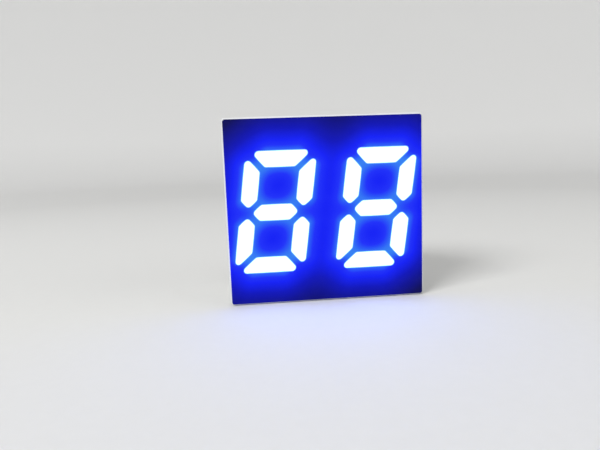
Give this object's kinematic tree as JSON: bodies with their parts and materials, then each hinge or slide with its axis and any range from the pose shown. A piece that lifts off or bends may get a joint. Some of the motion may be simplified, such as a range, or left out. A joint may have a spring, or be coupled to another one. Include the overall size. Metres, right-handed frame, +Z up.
{
  "type": "seven-segment led display",
  "caption": "Numeric LED display: slanted milky segments in a black-faced white block, with rows of round pins at the back.",
  "frame": {"origin": "centre of the grid of pins, on the seating plane at the rim of the back", "axes": "+X to the right and +Z up as the digits are read, +Y from the face towards the pins' tips"},
  "size_m": [0.015, 0.012, 0.014],
  "materials": {
    "white_plastic": "moulded white reflector plastic with a faint satin sheen",
    "black_print": "matte black printed face, washed with blue light round the segments",
    "milky_epoxy": "diffused epoxy, lit: white in the middle and cyan-blue at the edges",
    "board": "pale glass-epoxy laminate",
    "copper": "gold-flashed copper",
    "led_chip": "polished pale crystal",
    "gold_wire": "bright gold wire",
    "solder": "smooth bright solder",
    "potting_epoxy": "cast milky epoxy with a glossy, slightly uneven skin",
    "tinned_wire": "tinned round wire with fine draw lines"
  },
  "bodies": {
    "root": {"reflector_housing": "white_plastic", "black_face": "black_print", "left_segment_a": "milky_epoxy", "left_segment_b": "milky_epoxy", "left_segment_c": "milky_epoxy", "left_segment_d": "milky_epoxy", "left_segment_e": "milky_epoxy", "left_segment_f": "milky_epoxy", "left_segment_g": "milky_epoxy", "right_segment_a": "milky_epoxy", "right_segment_b": "milky_epoxy", "right_segment_c": "milky_epoxy", "right_segment_d": "milky_epoxy", "right_segment_e": "milky_epoxy", "right_segment_f": "milky_epoxy", "right_segment_g": "milky_epoxy", "circuit_board": "board", "board_pads": "copper", "left_chip_a": "led_chip", "left_chip_b": "led_chip", "left_chip_c": "led_chip", "left_chip_d": "led_chip", "left_chip_e": "led_chip", "left_chip_f": "led_chip", "left_chip_g": "led_chip", "right_chip_a": "led_chip", "right_chip_b": "led_chip", "right_chip_c": "led_chip", "right_chip_d": "led_chip", "right_chip_e": "led_chip", "right_chip_f": "led_chip", "right_chip_g": "led_chip", "left_bond_wires": "gold_wire", "right_bond_wires": "gold_wire", "solder_joints": "solder", "back_potting": "potting_epoxy", "pin_1": "tinned_wire", "pin_2": "tinned_wire", "pin_3": "tinned_wire", "pin_4": "tinned_wire", "pin_5": "tinned_wire", "pin_6": "tinned_wire", "pin_7": "tinned_wire", "pin_8": "tinned_wire", "pin_9": "tinned_wire", "pin_10": "tinned_wire"}
  },
  "joints": []
}
